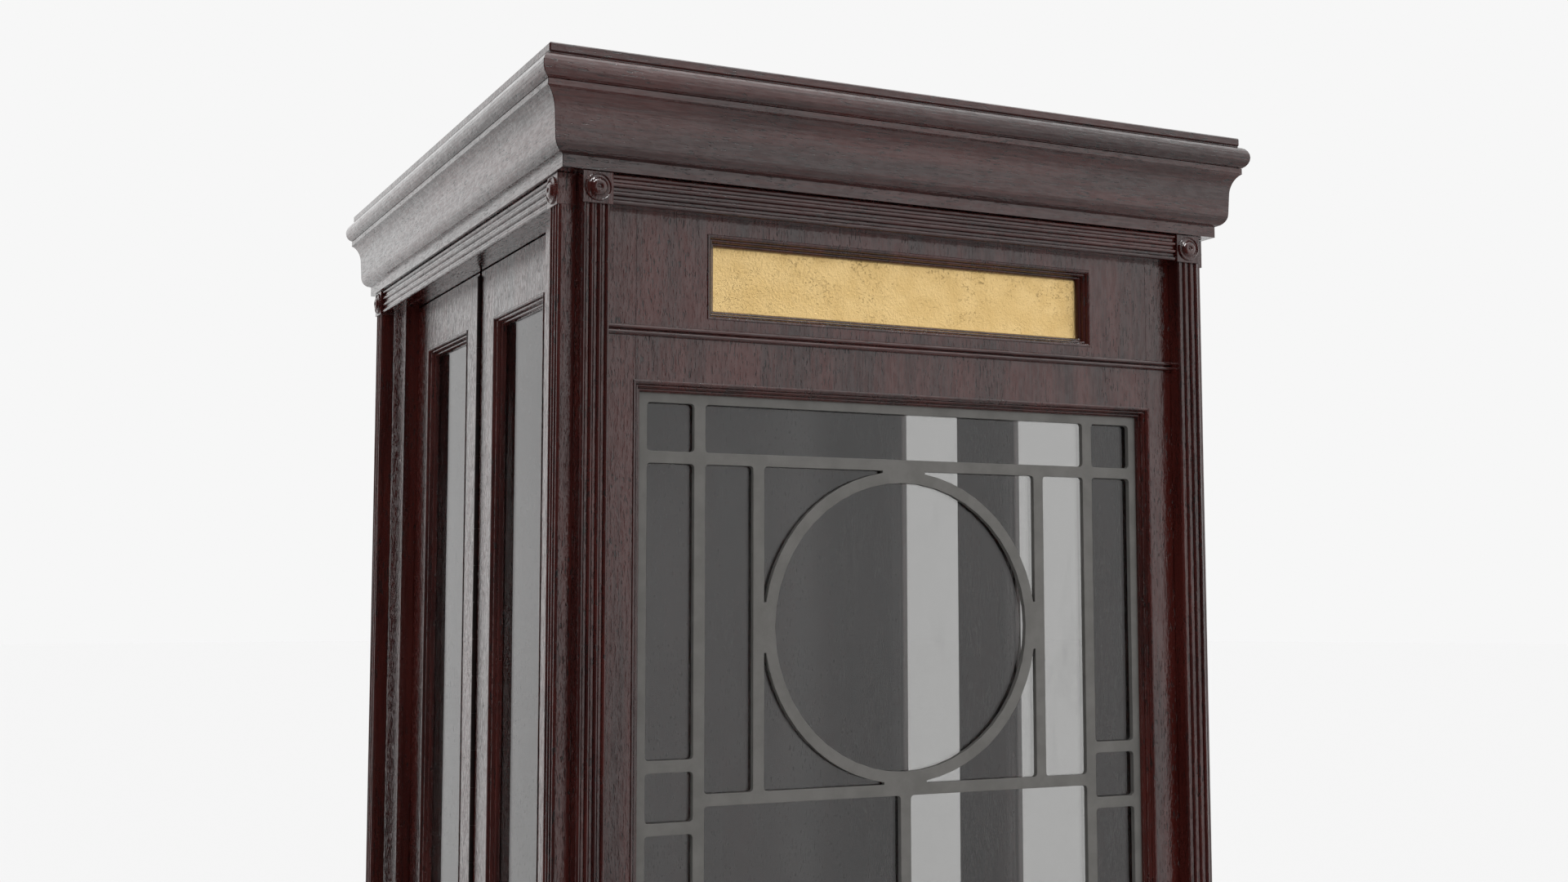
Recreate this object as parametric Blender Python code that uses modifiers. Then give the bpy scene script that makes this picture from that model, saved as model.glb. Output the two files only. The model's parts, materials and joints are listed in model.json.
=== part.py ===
"""A mahogany booth-form armoire: four L-shaped corner posts with reeded pilasters and rosette
blocks, a mitred cornice, a front with a brass sign plate and a barred window, a folding
two-leaf door in the left side, two glazed sashes in the right side and a boarded back.

Metres, +Z up. The front faces -Y. The origin is the middle of the footprint, on the floor.
"""

import math

import bmesh
import bpy
from mathutils import Matrix, Vector

# Overall sizes. Width and depth are over the faces of the corner posts.
HEIGHT = 2.200
BODY_WIDTH = 0.862
BODY_DEPTH = 0.906
GAP = 0.0003  # clearance between pieces that touch

# Base, floor, roof and ceiling.
BASE_HEIGHT = 0.100
BASE_OUT = 0.036
BASE_IN = 0.060
FLOOR_THICKNESS = 0.022
FLOOR_DROP = 0.004
ROOF_OUT = 0.0495
ROOF_THICKNESS = 0.0107
CEILING_THICKNESS = 0.012

# Cornice and frieze.
CORNICE_HEIGHT = 0.1210
BAND_OUT = 0.0250
FRIEZE_HEIGHT = 0.0355
REED_COUNT = 4
REED_RELIEF = 0.0028
REED_FILLET = 0.0039  # the flat between two reeds
REED_QUIRK = 0.0006  # the small groove beside each reed

# Corner posts, walls and door recess.
POST_FRONT_LEG = 0.0729
POST_SIDE_LEG = 0.1100
WALL = 0.034
RECESS = 0.0195
LEAF_THICKNESS = 0.030

# Pilaster strips and their corner blocks.
STRIP_WIDTH = 0.0338
STRIP_THICKNESS = 0.0205
STRIP_INSET = 0.0004  # from the post's arris
BLOCK_SIDE = 0.0365
BLOCK_THICKNESS = 0.0225
ROSETTE_RADIUS = 0.0160
ROSETTE_HEIGHT = 0.0054
ROSETTE_ROOT = 0.004  # how far it is let into its block

# The three-step moulding that frames every opening.
MOULDING_WIDTH = 0.0125
MOULDING_LAP = 0.0028
MOULDING_PROUD = 0.0010
MOULDING_DEPTH = 0.0146
MOULDING_QUIRK = 0.0012  # how far each lower bead rises over the step before it
MOULDING_QUIRK_WIDTH = 0.0004

# Front: sign, bead rail, window and grille, apron.
SIGN_MARGIN = 0.0884  # from a post's edge to the sign's moulding
SIGN_HEIGHT = 0.1003
SIGN_BELOW_FRIEZE = 0.0199
PLATE_THICKNESS = 0.0035
BEAD_RAIL_HEIGHT = 0.0128
BEAD_RAIL_THICKNESS = 0.0060
BEAD_RAIL_BELOW_SIGN = 0.0185
WINDOW_TOP_BELOW_RAIL = 0.0505
WINDOW_BOTTOM = 0.800
GLASS_THICKNESS = 0.004
STOP_THICKNESS = 0.0075
GRILLE_THICKNESS = 0.0068
GRILLE_UNDER_MOULDING = 0.0035
BAR = 0.0139
CELL_WIDTH = 0.0590
CELL_HEIGHT = 0.0562
CELL_CORNER = 0.0045
RING_SIDE_CELL = 0.0618  # the tall narrow cell on each side of the ring
RING_CLEARANCE = 0.0005  # from the ring's outer edge to the square of bars round it
SPANDREL_TIP = 9.0  # degrees from the ring's top, bottom or side to a spandrel's tip
APRON_MARGIN = 0.040
APRON_RAIL = 0.075

# Door leaves and side sashes.
STILE = 0.064
TOP_RAIL = 0.0720
LOCK_RAIL_TOP = 0.800
LOCK_RAIL_BOTTOM = 0.700
BOTTOM_RAIL = 0.110
PANEL_SUNK = 0.008
PANEL_EDGE = 0.009
HEAD_GAP = 0.0014
# A cutter runs this far past the face it opens.
CUT_PAST = 0.01
# The track's slot stops this far short of the doorway's end and of the upper pivot pin.
TRACK_END_WALL = 0.012
TRACK_PIVOT_WALL = 0.030
PIN_END_GAP = 0.002
HINGE_PIN_PROUD = 0.002
STOP_STEP_OUT = 0.003
STOP_STEP_BACK = 0.0015
BEAD_FOOT = 0.002
BEAD_SHARE = 0.48
BASE_BEAD_IN = 0.003
BASE_BEAD_WIDTH = 0.008
# The cornice's section, from its lower back corner: (out, up) centres and radii of its curves.
BAND_HEIGHT = 0.0142
OVOLO_CENTRE = (0.0245, 0.0310)
OVOLO_RADII = (0.0135, 0.0165)
COVE_CENTRE = (0.0572, 0.0543)
COVE_RADII = (-0.0182, 0.0305)
FILLET_OUT = 0.0512
FILLET_BOTTOM = 0.0838
FILLET_TOP = 0.0905
TORUS_CENTRE = (0.0480, 0.1050)
TORUS_RADII = (0.0113, 0.0145)
SILL_GAP = 0.0035
JAMB_GAP = 0.0035
MEETING_GAP = 0.0018  # from the fold line to a leaf's edge

# Fold hinge, pivots, track and pull.
HINGE_PLATE = 0.0010
HINGE_PLATE_WIDTH = 0.024
HINGE_PITCH = 0.050
HINGE_END_DROP = 0.006
BARREL_RADIUS = 0.0037
BARREL_BORE = 0.0021
HINGE_PIN_RADIUS = 0.0016
BARREL_OUT = 0.0010  # hinge axis beyond the leaf's outer face
BARREL_CLEARANCE = 0.0008
PIVOT_INSET = 0.040
PIVOT_RADIUS = 0.0050
PIVOT_CLEARANCE = 0.0006
PIVOT_REACH = 0.014
GUIDE_PIN_RADIUS = 0.0035
GUIDE_PIN_ABOVE_ROLLER = 0.003
ROLLER_RADIUS = 0.0080
ROLLER_HEIGHT = 0.009
ROLLER_ABOVE_SOFFIT = 0.004
ROLLER_BORE_CLEARANCE = 0.0006
TRACK_CLEARANCE = 0.0015
TRACK_DEPTH = 0.020
PULL_HEIGHT = 1.050
PULL_LENGTH = 0.150
PULL_STAND_OFF = 0.026
PULL_RADIUS = 0.0050
PULL_BEND = 0.018
ROSE_RADIUS = 0.0115
ROSE_THICKNESS = 0.0035

# Back boards.
MIDDLE_BOARD = 0.262
BOARD_CHAMFER = 0.0015

# Sizes that follow from those above.
CORNICE_TOP = HEIGHT - ROOF_THICKNESS - GAP
CORNICE_BOTTOM = CORNICE_TOP - CORNICE_HEIGHT
SOFFIT = CORNICE_BOTTOM - FRIEZE_HEIGHT
SIDE_WALL = RECESS + LEAF_THICKNESS
SIGN_TOP = SOFFIT - SIGN_BELOW_FRIEZE
SIGN_BOTTOM = SIGN_TOP - SIGN_HEIGHT
RAIL_TOP = SIGN_BOTTOM - BEAD_RAIL_BELOW_SIGN + BEAD_RAIL_HEIGHT / 2
WINDOW_TOP = RAIL_TOP - BEAD_RAIL_HEIGHT - WINDOW_TOP_BELOW_RAIL
DOORWAY_HALF = BODY_DEPTH / 2 - POST_SIDE_LEG
FRONT_HALF = BODY_WIDTH / 2 - POST_FRONT_LEG
SIGN_HALF_WIDTH = FRONT_HALF - SIGN_MARGIN
WINDOW_HALF_WIDTH = FRONT_HALF + MOULDING_LAP
GRILLE_HALF_WIDTH = WINDOW_HALF_WIDTH - MOULDING_WIDTH + GRILLE_UNDER_MOULDING
RING_SQUARE = GRILLE_HALF_WIDTH - 3 * BAR - CELL_WIDTH - RING_SIDE_CELL
RING_OUTER_RADIUS = RING_SQUARE - RING_CLEARANCE
RING_INNER_RADIUS = RING_OUTER_RADIUS - BAR
LEAF_TOP = SOFFIT - HEAD_GAP
LEAF_BOTTOM = BASE_HEIGHT + SILL_GAP
GLAZING_TOP = SOFFIT - TOP_RAIL
POCKET_DEPTH = MOULDING_DEPTH + GAP + GLASS_THICKNESS + GAP
PIVOT_LINE = RECESS + LEAF_THICKNESS / 2
PIVOT_X = DOORWAY_HALF - JAMB_GAP - PIVOT_INSET
FOLD_DEPTH = RECESS - BARREL_OUT

MAHOGANY = ("mahogany", (0.045, 0.014, 0.012, 1), 0.22, 0.0)
BRASS = ("brass", (0.78, 0.57, 0.25, 1), 0.32, 1.0)
BRONZE = ("hinge_metal", (0.030, 0.027, 0.025, 1), 0.45, 0.8)
IRON = ("grille_metal", (0.13, 0.125, 0.115, 1), 0.42, 0.6)
STEEL = ("steel", (0.35, 0.33, 0.30, 1), 0.35, 1.0)
GLASS = ("glass", (0.80, 0.82, 0.82, 1), 0.06, 0.0)


def clear_scene():
    for obj in list(bpy.data.objects):
        bpy.data.objects.remove(obj, do_unlink=True)


def new_collection(name):
    collection = bpy.data.collections.new(name)
    bpy.context.scene.collection.children.link(collection)
    return collection


def material(kind, node_name):
    name, colour, roughness, metallic = kind
    made = bpy.data.materials.new(f"{name}_{node_name}")
    made.use_nodes = True
    shader = made.node_tree.nodes["Principled BSDF"]
    shader.inputs["Base Color"].default_value = colour
    shader.inputs["Roughness"].default_value = roughness
    shader.inputs["Metallic"].default_value = metallic
    made.diffuse_color = colour
    return made


clear_scene()
PARTS = new_collection("armoire")
HELPERS = new_collection("armoire_cutters")


def add_object(name, mesh, kind, place=None):
    """A part, or a helper when kind is None."""
    obj = bpy.data.objects.new(name, mesh)
    obj.matrix_world = place or Matrix()
    if kind is None:
        HELPERS.objects.link(obj)
        obj.hide_render = True
        obj.display_type = "WIRE"
    else:
        PARTS.objects.link(obj)
        mesh.materials.append(material(kind, name))
    return obj


def face_place(side, x=0.0, y=0.0, z=0.0):
    """Places a piece on one side: x along it, y into the body from the post faces, z up."""
    turn, distance = {
        "front": (0, BODY_DEPTH / 2),
        "right": (90, BODY_WIDTH / 2),
        "back": (180, BODY_DEPTH / 2),
        "left": (270, BODY_WIDTH / 2),
    }[side]
    spin = Matrix.Rotation(math.radians(turn), 4, "Z")
    return spin @ Matrix.Translation((x, y - distance, z))


def box_mesh(name, low, high):
    shape = bmesh.new()
    bmesh.ops.create_cube(shape, size=1.0)
    size = Vector(high) - Vector(low)
    middle = (Vector(high) + Vector(low)) / 2
    bmesh.ops.scale(shape, vec=size, verts=shape.verts)
    bmesh.ops.translate(shape, vec=middle, verts=shape.verts)
    mesh = bpy.data.meshes.new(name)
    shape.to_mesh(mesh)
    shape.free()
    return mesh


def box(name, low, high, kind=None, place=None, bevel=0.0):
    obj = add_object(name, box_mesh(name, low, high), kind, place)
    if bevel:
        soften(obj, bevel)
    return obj


def soften(obj, width, segments=1):
    edge = obj.modifiers.new("Soft edges", "BEVEL")
    edge.width = width
    edge.segments = segments
    edge.limit_method = "ANGLE"
    edge.angle_limit = math.radians(50)


def cylinder(name, radius, bottom, top, kind=None, place=None, sides=20):
    shape = bmesh.new()
    bmesh.ops.create_cone(
        shape, cap_ends=True, segments=sides, radius1=radius, radius2=radius, depth=top - bottom
    )
    bmesh.ops.translate(shape, vec=(0, 0, (top + bottom) / 2), verts=shape.verts)
    mesh = bpy.data.meshes.new(name)
    shape.to_mesh(mesh)
    shape.free()
    obj = add_object(name, mesh, kind, place)
    mesh.shade_smooth()
    mesh.set_sharp_from_angle(angle=math.radians(40))
    return obj


def turned(name, profile, place, sides=24):
    """A helper turned about its own Z axis; the profile runs down its outer side."""
    mesh = bpy.data.meshes.new(name)
    points = [(radius, 0, height) for radius, height in profile]
    edges = [(i, i + 1) for i in range(len(points) - 1)]
    mesh.from_pydata(points, edges, [])
    obj = add_object(name, mesh, None, place)
    screw = obj.modifiers.new("Turn", "SCREW")
    screw.axis = "Z"
    screw.steps = sides
    screw.render_steps = sides
    screw.use_merge_vertices = True
    screw.merge_threshold = 0.00001
    return obj


def solid_from_curve(name, curve):
    """The mesh that a curve's bevel or extrusion makes, with its caps welded on."""
    guide = bpy.data.objects.new(name + "_guide", curve)
    HELPERS.objects.link(guide)
    bpy.context.view_layer.update()
    graph = bpy.context.evaluated_depsgraph_get()
    mesh = bpy.data.meshes.new_from_object(guide.evaluated_get(graph))
    bpy.data.objects.remove(guide, do_unlink=True)
    shape = bmesh.new()
    shape.from_mesh(mesh)
    bmesh.ops.remove_doubles(shape, verts=shape.verts, dist=0.00001)
    bmesh.ops.recalc_face_normals(shape, faces=shape.faces)
    shape.to_mesh(mesh)
    shape.free()
    mesh.name = name
    mesh.materials.clear()
    return mesh


def extruded(name, outlines, depth, kind=None, place=None):
    """A flat plate in local XY, from z = 0 to depth; outlines after the first are holes."""
    curve = bpy.data.curves.new(name, "CURVE")
    curve.dimensions = "2D"
    curve.fill_mode = "BOTH"
    curve.extrude = depth / 2
    for outline in outlines:
        spline = curve.splines.new("POLY")
        spline.points.add(len(outline) - 1)
        for point, (x, y) in zip(spline.points, outline):
            point.co = (x, y, 0, 1)
        spline.use_cyclic_u = True
    mesh = solid_from_curve(name, curve)
    mesh.transform(Matrix.Translation((0, 0, depth / 2)))
    return add_object(name, mesh, kind, place)


def prism(name, outline, depth, kind=None, place=None):
    """One outline in local XY, drawn up from z = 0 to depth."""
    shape = bmesh.new()
    face = shape.faces.new([shape.verts.new((x, y, 0)) for x, y in outline])
    drawn = bmesh.ops.extrude_face_region(shape, geom=[face])["geom"]
    raised = [item for item in drawn if isinstance(item, bmesh.types.BMVert)]
    bmesh.ops.translate(shape, vec=(0, 0, depth), verts=raised)
    bmesh.ops.recalc_face_normals(shape, faces=shape.faces)
    mesh = bpy.data.meshes.new(name)
    shape.to_mesh(mesh)
    shape.free()
    mesh.shade_smooth()
    mesh.set_sharp_from_angle(angle=math.radians(35))
    return add_object(name, mesh, kind, place)


def boolean(obj, helpers, operation):
    for helper in helpers:
        step = obj.modifiers.new(f"{operation.title()} {helper.name}"[:60], "BOOLEAN")
        step.operation = operation
        step.solver = "EXACT"
        step.object = helper


def cut(obj, *helpers):
    boolean(obj, helpers, "DIFFERENCE")


def join(obj, *helpers):
    boolean(obj, helpers, "UNION")


def loft(name, rings, closed, kind, place):
    """Joins rings of points with quads; the ends are capped, or joined to each other."""
    shape = bmesh.new()
    loops = [[shape.verts.new(point) for point in ring] for ring in rings]
    count = len(loops[0])
    spans = len(loops) if closed else len(loops) - 1
    for j in range(spans):
        first, second = loops[j], loops[(j + 1) % len(loops)]
        for i in range(count):
            k = (i + 1) % count
            shape.faces.new((first[i], first[k], second[k], second[i]))
    if not closed:
        shape.faces.new(loops[0])
        shape.faces.new(reversed(loops[-1]))
    bmesh.ops.recalc_face_normals(shape, faces=shape.faces)
    mesh = bpy.data.meshes.new(name)
    shape.to_mesh(mesh)
    shape.free()
    mesh.shade_smooth()
    mesh.set_sharp_from_angle(angle=math.radians(35))
    return add_object(name, mesh, kind, place)


def arc(centre, radii, start, end, steps):
    """Points on an ellipse, from one angle to another, in degrees."""
    found = []
    for i in range(steps + 1):
        angle = math.radians(start + (end - start) * i / steps)
        across = centre[0] + radii[0] * math.cos(angle)
        up = centre[1] + radii[1] * math.sin(angle)
        found.append((across, up))
    return found


def mitred_frame(name, profile, half_width, bottom, top, kind, place):
    """A profile of (inward, depth) carried round a rectangle in the local XZ plane."""
    corners = [(-1, bottom, 1), (1, bottom, 1), (1, top, -1), (-1, top, -1)]
    rings = []
    for side, height, up in corners:
        rings.append(
            [(side * (half_width - inward), depth, height + up * inward) for inward, depth in profile]
        )
    return loft(name, rings, True, kind, place)


def moulding_profile():
    """Three quarter-round steps going down to the pane, with a lip lapping the face."""
    lip = MOULDING_WIDTH * 0.10
    step = (MOULDING_WIDTH - lip) / 3
    drop = (MOULDING_DEPTH + MOULDING_PROUD) / 3
    points = [(0, -GAP), (0, -MOULDING_PROUD * 0.7), (lip * 0.6, -MOULDING_PROUD)]
    for i in range(3):
        rise = 0.0 if i == 0 else MOULDING_QUIRK
        start = lip + i * step + (0.0 if i == 0 else MOULDING_QUIRK_WIDTH)
        base = (i + 1) * drop - MOULDING_PROUD
        points += arc((start, base), (lip + (i + 1) * step - start, drop + rise), -90, 0, 4)
    points += [(MOULDING_LAP + GAP, MOULDING_DEPTH), (MOULDING_LAP + GAP, -GAP)]
    return points


def reeds(start, width, face, steps=8):
    """(across, outward) points over a row of half-round reeds with flats between them."""
    flat = face - REED_RELIEF
    root = flat - REED_QUIRK
    reed = (width - (REED_COUNT - 1) * REED_FILLET) / REED_COUNT
    points = []
    for i in range(REED_COUNT):
        left = start + i * (reed + REED_FILLET)
        right = left + reed
        if i > 0:
            points.append((left - REED_QUIRK, flat))
        points += arc((left + reed / 2, root), (-reed / 2, face - root), 0, 180, steps)
        if i < REED_COUNT - 1:
            points.append((right + REED_QUIRK, flat))
    return points


def build_base():
    """A mitred skirting ring, hollow in the middle, drilled for the door's lower pivot."""
    outer = [
        (-BASE_OUT, 0),
        (-BASE_OUT, BASE_HEIGHT * 0.70),
        (-BASE_OUT + BASE_BEAD_IN, BASE_HEIGHT * 0.73),
    ]
    bead = (-BASE_OUT + BASE_BEAD_IN, BASE_HEIGHT * 0.93)
    outer += arc(bead, (BASE_BEAD_WIDTH, BASE_HEIGHT * 0.2), -90, 0, 5)
    outer += [(bead[0] + BASE_BEAD_WIDTH, BASE_HEIGHT), (BASE_IN, BASE_HEIGHT), (BASE_IN, 0)]
    corners = [(-1, -1), (1, -1), (1, 1), (-1, 1)]
    rings = []
    for sx, sy in corners:
        rings.append(
            [(sx * (BODY_WIDTH / 2 - e), sy * (BODY_DEPTH / 2 - e), z) for e, z in outer]
        )
    base = loft("base_frame", rings, True, MAHOGANY, None)
    place = face_place("left", -PIVOT_X, PIVOT_LINE)
    hole = cylinder(
        "lower_pivot_hole",
        PIVOT_RADIUS + PIVOT_CLEARANCE,
        BASE_HEIGHT - PIVOT_REACH,
        BASE_HEIGHT + CUT_PAST,
        place=place,
    )
    cut(base, hole)


def build_floor_and_ceiling():
    half_x = BODY_WIDTH / 2 - BASE_IN - GAP
    half_y = BODY_DEPTH / 2 - BASE_IN - GAP
    top = BASE_HEIGHT - FLOOR_DROP
    box(
        "floor_board",
        (-half_x, -half_y, top - FLOOR_THICKNESS),
        (half_x, half_y, top),
        MAHOGANY,
        bevel=0.001,
    )
    half_x = BODY_WIDTH / 2 - SIDE_WALL - GAP
    half_y = BODY_DEPTH / 2 - WALL - GAP
    box(
        "ceiling_board",
        (-half_x, -half_y, SOFFIT),
        (half_x, half_y, SOFFIT + CEILING_THICKNESS),
        MAHOGANY,
    )


def build_posts():
    """L-shaped posts: the long leg is on the left or right side, the short one on the front or back."""
    height = CORNICE_TOP - BASE_HEIGHT - GAP
    outline = [
        (0, 0),
        (POST_FRONT_LEG, 0),
        (POST_FRONT_LEG, WALL),
        (SIDE_WALL, WALL),
        (SIDE_WALL, POST_SIDE_LEG),
        (0, POST_SIDE_LEG),
    ]
    for end, sy in (("front", -1), ("rear", 1)):
        for side, sx in (("left", -1), ("right", 1)):
            points = [
                (sx * (BODY_WIDTH / 2 - x), sy * (BODY_DEPTH / 2 - y)) for x, y in outline
            ]
            place = Matrix.Translation((0, 0, BASE_HEIGHT + GAP))
            prism(f"corner_post_{end}_{side}", points, height, MAHOGANY, place)


def rosette_profile():
    """Down the outer side: a button in a dimple, a broad dome, a hollow and a thin rim."""
    radius = ROSETTE_RADIUS
    top = ROSETTE_HEIGHT
    profile = arc((0, 0.67 * top), (0.08 * radius, 0.18 * top), 90, 0, 2)
    profile.append((0.15 * radius, 0.67 * top))
    profile += arc((0.30 * radius, 0.85 * top), (-0.12 * radius, 0.15 * top), 0, 90, 2)
    profile += arc((0.30 * radius, 0.26 * top), (0.34 * radius, 0.74 * top), 75, 15, 4)
    profile += [(0.74 * radius, 0.24 * top), (0.87 * radius, 0.17 * top)]
    profile += arc((0.94 * radius, 0.18 * top), (-0.055 * radius, 0.26 * top), 0, 180, 4)
    profile += [(radius, 0), (radius, -ROSETTE_ROOT), (0, -ROSETTE_ROOT)]
    return profile


def build_pilasters():
    """A reeded strip under a rosette block, at both ends of every side."""
    bottom = BASE_HEIGHT + GAP
    block_bottom = CORNICE_BOTTOM - GAP - BLOCK_SIDE
    halves = {
        "front": BODY_WIDTH / 2,
        "right": BODY_DEPTH / 2,
        "back": BODY_WIDTH / 2,
        "left": BODY_DEPTH / 2,
    }
    ends = {
        "front": ("left", "right"),
        "right": ("front", "rear"),
        "back": ("right", "left"),
        "left": ("rear", "front"),
    }
    for side, half in halves.items():
        for end, sign in zip(ends[side], (-1, 1)):
            name = f"pilaster_{side}_{end}"
            rows = reeds(STRIP_INSET, STRIP_WIDTH - STRIP_INSET, STRIP_THICKNESS)
            outline = [(STRIP_INSET, -2 * GAP)] + [(x, -y) for x, y in rows]
            outline += [(STRIP_WIDTH, -2 * GAP)]
            placed = [(sign * (half - x), y) for x, y in outline]
            strip = prism(
                name, placed, block_bottom + 0.001 - bottom, MAHOGANY, face_place(side, z=bottom)
            )
            edges = sorted((sign * half, sign * (half - BLOCK_SIDE)))
            block = box(
                name + "_block",
                (edges[0], -BLOCK_THICKNESS, block_bottom),
                (edges[1], -GAP, block_bottom + BLOCK_SIDE),
                place=face_place(side),
                bevel=0.0005,
            )
            middle = face_place(
                side,
                sign * (half - BLOCK_SIDE / 2),
                -BLOCK_THICKNESS,
                block_bottom + BLOCK_SIDE / 2,
            )
            rosette = turned(
                name + "_rosette", rosette_profile(), middle @ Matrix.Rotation(math.pi / 2, 4, "X")
            )
            join(strip, block, rosette)


def build_friezes():
    """Reeded lengths between the corner blocks."""
    for side in ("front", "right", "back", "left"):
        half = (BODY_WIDTH if side in ("front", "back") else BODY_DEPTH) / 2 - BLOCK_SIDE - GAP
        rows = reeds(0, FRIEZE_HEIGHT - GAP, STRIP_THICKNESS)
        section = [(-GAP, 0)] + [(-out, up) for up, out in rows] + [(-GAP, FRIEZE_HEIGHT - GAP)]
        rings = [[(x, y, SOFFIT + z) for y, z in section] for x in (-half, half)]
        loft(f"frieze_{side}", rings, False, MAHOGANY, face_place(side))


def cornice_section():
    """(outward, up) points: band, small step, swelling, hollow, fillet and half-round."""
    points = [(GAP, 0), (BAND_OUT, 0), (BAND_OUT, BAND_HEIGHT)]
    points += arc(OVOLO_CENTRE, OVOLO_RADII, -64, 0, 5)
    points += arc(COVE_CENTRE, COVE_RADII, 0, 72, 7)
    points += [(FILLET_OUT, FILLET_BOTTOM), (FILLET_OUT, FILLET_TOP)]
    points += arc(TORUS_CENTRE, TORUS_RADII, -90, 90, 10)
    points += [(TORUS_CENTRE[0], CORNICE_HEIGHT), (GAP, CORNICE_HEIGHT)]
    return points


def build_cornice():
    """Four lengths, mitred where they meet."""
    section = cornice_section()
    for side in ("front", "right", "back", "left"):
        half = (BODY_WIDTH if side in ("front", "back") else BODY_DEPTH) / 2
        rings = []
        for sign in (-1, 1):
            rings.append(
                [(sign * (half + out - GAP), -out, CORNICE_BOTTOM + up) for out, up in section]
            )
        loft(f"cornice_{side}", rings, False, MAHOGANY, face_place(side))


def build_roof():
    half_x = BODY_WIDTH / 2 + ROOF_OUT
    half_y = BODY_DEPTH / 2 + ROOF_OUT
    box(
        "roof_board",
        (-half_x, -half_y, HEIGHT - ROOF_THICKNESS),
        (half_x, half_y, HEIGHT),
        MAHOGANY,
        bevel=0.0015,
    )


def front_board(name, bottom, top):
    half = FRONT_HALF - GAP
    return box(name, (-half, 0, bottom), (half, WALL, top), MAHOGANY, face_place("front"))


def pocket(name, half_width, bottom, top, depth, place):
    """A cutter for the hole that a moulding drops into."""
    lap = MOULDING_LAP
    return box(
        name,
        (-half_width + lap, -CUT_PAST, bottom + lap),
        (half_width - lap, depth, top - lap),
        place=place,
    )


def shaped_cutter(name, half_width, bottom, top, profile, place):
    """A cutter whose rectangle shrinks by each inset at each depth of the profile."""
    rings = []
    for inset, depth in profile:
        x = half_width - inset
        low, high = bottom + inset, top - inset
        rings.append([(-x, depth, low), (x, depth, low), (x, depth, high), (-x, depth, high)])
    return loft(name, rings, False, None, place)


def moulding(name, half_width, bottom, top, place):
    return mitred_frame(name, moulding_profile(), half_width, bottom, top, MAHOGANY, place)


def pane(name, half_width, bottom, top, depth, thickness, kind, place):
    """A plate that fills a moulding's pocket, from depth inwards."""
    inset = MOULDING_LAP + GAP
    return box(
        name,
        (-half_width + inset, depth, bottom + inset),
        (half_width - inset, depth + thickness, top - inset),
        kind,
        place,
    )


def build_sign():
    place = face_place("front")
    rail_middle = RAIL_TOP - BEAD_RAIL_HEIGHT / 2
    board = front_board("front_sign_board", rail_middle + GAP / 2, CORNICE_TOP)
    depth = MOULDING_DEPTH + GAP + PLATE_THICKNESS + GAP
    cut(board, pocket("sign_pocket", SIGN_HALF_WIDTH, SIGN_BOTTOM, SIGN_TOP, depth, place))
    moulding("sign_moulding", SIGN_HALF_WIDTH, SIGN_BOTTOM, SIGN_TOP, place)
    plate_front = MOULDING_DEPTH + GAP
    pane(
        "sign_plate",
        SIGN_HALF_WIDTH,
        SIGN_BOTTOM,
        SIGN_TOP,
        plate_front,
        PLATE_THICKNESS,
        BRASS,
        place,
    )


def build_bead_rail():
    """A double bead across the front, between the pilasters."""
    half = BODY_WIDTH / 2 - STRIP_WIDTH - GAP
    bead = BEAD_RAIL_HEIGHT / 2
    section = [(-GAP, 0)]
    for i in range(2):
        radii = (-bead * BEAD_SHARE, BEAD_RAIL_THICKNESS - BEAD_FOOT)
        rows = arc((bead * (i + 0.5), BEAD_FOOT), radii, 0, 180, 6)
        section += [(-out, up) for up, out in rows]
    section += [(-GAP, BEAD_RAIL_HEIGHT)]
    bottom = RAIL_TOP - BEAD_RAIL_HEIGHT
    rings = [[(x, y, bottom + z) for y, z in section] for x in (-half, half)]
    loft("front_bead_rail", rings, False, MAHOGANY, face_place("front"))


def build_window_surround():
    place = face_place("front")
    rail_middle = RAIL_TOP - BEAD_RAIL_HEIGHT / 2
    front_board("front_window_rail", WINDOW_TOP - MOULDING_LAP, rail_middle - GAP / 2)
    moulding("window_moulding", WINDOW_HALF_WIDTH, WINDOW_BOTTOM, WINDOW_TOP, place)
    glass_front = MOULDING_DEPTH + GAP + GRILLE_THICKNESS + GAP
    pane(
        "front_glass",
        WINDOW_HALF_WIDTH,
        WINDOW_BOTTOM,
        WINDOW_TOP,
        glass_front,
        GLASS_THICKNESS,
        GLASS,
        place,
    )
    stop_front = glass_front + GLASS_THICKNESS + GAP
    outer = MOULDING_LAP + GAP
    back = stop_front + STOP_THICKNESS
    middle = (outer + STOP_STEP_OUT, stop_front + STOP_STEP_BACK)
    profile = [(outer, stop_front), (MOULDING_WIDTH, stop_front)]
    profile += arc(middle, (MOULDING_WIDTH - middle[0], back - middle[1]), 0, 90, 4)
    profile += [(outer, back)]
    mitred_frame(
        "window_stop", profile, WINDOW_HALF_WIDTH, WINDOW_BOTTOM, WINDOW_TOP, MAHOGANY, place
    )


def rounded_cell(left, bottom, right, top):
    """A rectangle with rounded corners."""
    radius = CELL_CORNER
    points = []
    corners = [
        (right - radius, bottom + radius, -90),
        (right - radius, top - radius, 0),
        (left + radius, top - radius, 90),
        (left + radius, bottom + radius, 180),
    ]
    for x, y, start in corners:
        points += arc((x, y), (radius, radius), start, start + 90, 3)
    return points


def spandrel(centre, reach, ring_radius, sx, sy):
    """The corner cell left between the ring and the square of bars round it."""
    far_x = centre[0] + sx * reach
    far_y = centre[1] + sy * reach
    corner = (far_x - sx * CELL_CORNER, far_y - sy * CELL_CORNER)
    side = arc(centre, (sx * ring_radius, sy * ring_radius), 90 - SPANDREL_TIP, SPANDREL_TIP, 12)
    points = arc(corner, (sx * CELL_CORNER, sy * CELL_CORNER), 0, 90, 3)
    return points + [(side[0][0], far_y)] + side + [(far_x, side[-1][1])]


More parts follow.
